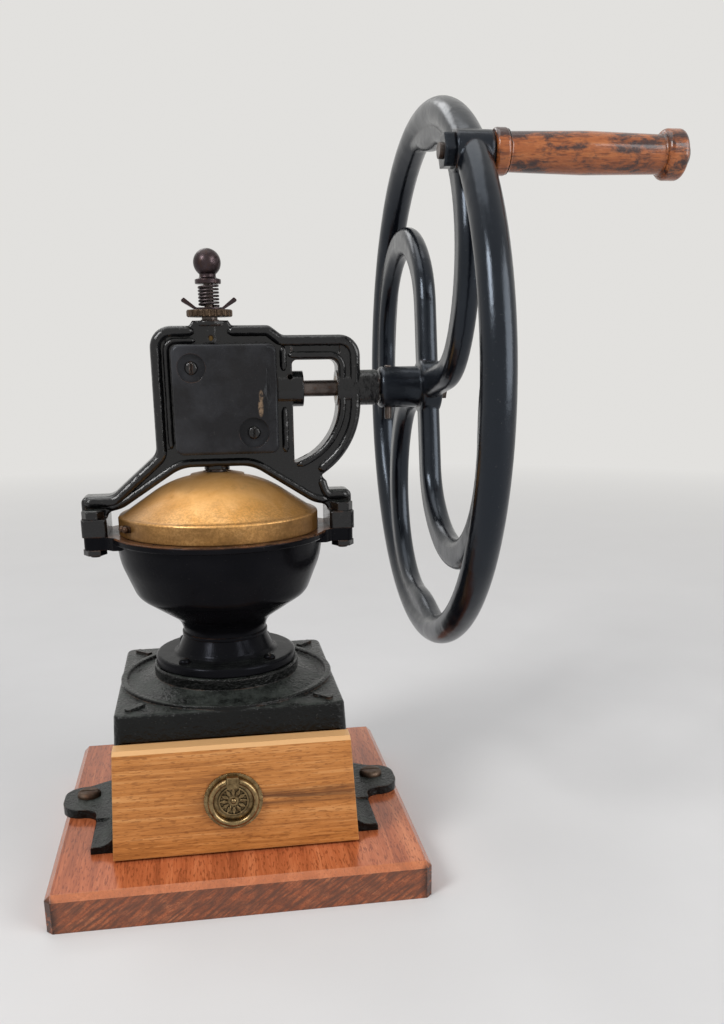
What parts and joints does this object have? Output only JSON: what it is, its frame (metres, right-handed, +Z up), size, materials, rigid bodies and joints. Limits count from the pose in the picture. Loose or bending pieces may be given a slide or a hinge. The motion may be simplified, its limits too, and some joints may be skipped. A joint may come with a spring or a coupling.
{
  "type": "manual coffee grinder",
  "caption": "Hand-cranked coffee grinder: wooden board, flared cast base with drawer, bowl hopper with domed lid, gear frame, side flywheel with a wooden handle.",
  "frame": {"origin": "centre of the board's underside, which is the face the grinder stands on", "axes": "+Z up along the spindle, +X along the crank axle from the mill to the flywheel, -Y towards the drawer front"},
  "size_m": [0.3684, 0.3326, 0.4631],
  "materials": {
    "board_wood": "varnished mahogany, satin gloss",
    "base_iron": "worn black and grey-green cast iron",
    "screw_steel": "dull steel with rust",
    "hopper_paint": "gloss black with a rust-brown rim",
    "burr_iron": "bare chilled iron",
    "dark_steel": "dark oiled steel",
    "frame_paint": "gloss black over rough iron",
    "frame_steel": "dark steel",
    "cover_paint": "semi-gloss black, specked",
    "bush_brass": "dull brass",
    "gear_iron": "machined teeth, oiled",
    "wheel_paint": "gloss black",
    "handle_wood": "worn orange-brown varnish",
    "disc_brass": "dark brass patina",
    "adjuster_iron": "dark brown oiled iron",
    "spring_steel": "dull spring steel",
    "lid_brass": "golden-brown, mottled",
    "knob_brass": "dark bronze patina",
    "drawer_wood": "light orange-brown, fine grain, satin",
    "pull_brass": "antique brass"
  },
  "bodies": {
    "mill": {"base_board": "board_wood", "base_casting": "base_iron", "base_screws": "screw_steel", "hopper": "hopper_paint", "hopper_foot_screws": "screw_steel", "burr_ring": "burr_iron", "spindle_bridge": "base_iron", "bridge_screws": "screw_steel", "gear_frame": "frame_paint", "frame_bolts": "frame_steel", "frame_nuts": "frame_steel", "cover_front": "cover_paint", "cover_rear": "cover_paint", "cover_screws": "screw_steel", "spindle_bush": "bush_brass", "axle_bushes": "bush_brass", "lid_dome": "lid_brass"},
    "crank": {"axle": "dark_steel", "axle_gear": "gear_iron", "flywheel": "wheel_paint", "hub_pin": "dark_steel", "axle_washer": "dark_steel", "axle_nut": "dark_steel", "handle_bolt": "dark_steel", "handle_nut": "dark_steel", "handle_washer": "dark_steel"},
    "handle": {"handle_grip": "handle_wood"},
    "grinding_shaft": {"spindle": "dark_steel", "burr_cone": "burr_iron", "spindle_gear": "gear_iron", "spindle_gear_pin": "dark_steel", "adjusting_spring": "spring_steel", "adjusting_knob": "adjuster_iron"},
    "adjuster": {"notched_disc": "disc_brass", "wing_plate": "adjuster_iron"},
    "lid": {"lid_door": "lid_brass", "lid_knob": "knob_brass"},
    "drawer": {"drawer_front": "drawer_wood", "drawer_side_left": "drawer_wood", "drawer_side_right": "drawer_wood", "drawer_back": "drawer_wood", "drawer_floor": "drawer_wood", "pull_backplate": "pull_brass", "pull_holder": "pull_brass", "pull_screw": "pull_brass"},
    "pull": {"pull_ring": "pull_brass"}
  },
  "joints": [
    {"name": "crank_spin", "type": "hinge", "parent": "mill", "child": "crank", "pos_m": [0, 0.0065, 0.2968], "axis": [1, 0, 0], "continuous": true},
    {"name": "handle_spin", "type": "hinge", "parent": "crank", "child": "handle", "pos_m": [0.1355, -0.09209, 0.41898], "axis": [1, 0, 0], "continuous": true},
    {"name": "spindle_spin", "type": "hinge", "parent": "mill", "child": "grinding_shaft", "pos_m": [-0.0015, 0.0065, 0.2], "axis": [0, 0, 1], "continuous": true},
    {"name": "adjuster_turn", "type": "hinge", "parent": "grinding_shaft", "child": "adjuster", "pos_m": [-0.0015, 0.0065, 0.344], "axis": [0, 0, 1], "continuous": true},
    {"name": "lid_turn", "type": "hinge", "parent": "mill", "child": "lid", "pos_m": [-0.0015, 0.0065, 0.22], "axis": [0, 0, 1], "range_deg": [0, 120]},
    {"name": "drawer_slide", "type": "slide", "parent": "mill", "child": "drawer", "axis": [0, -1, 0], "range_m": [0, 0.12]},
    {"name": "pull_swing", "type": "hinge", "parent": "drawer", "child": "pull", "pos_m": [-0.0029, -0.08199, 0.07099], "axis": [-1, 0, 0], "range_deg": [0, 90]}
  ],
  "couplings": [
    {"joint": "spindle_spin", "follows": "crank_spin", "ratio": 1}
  ]
}
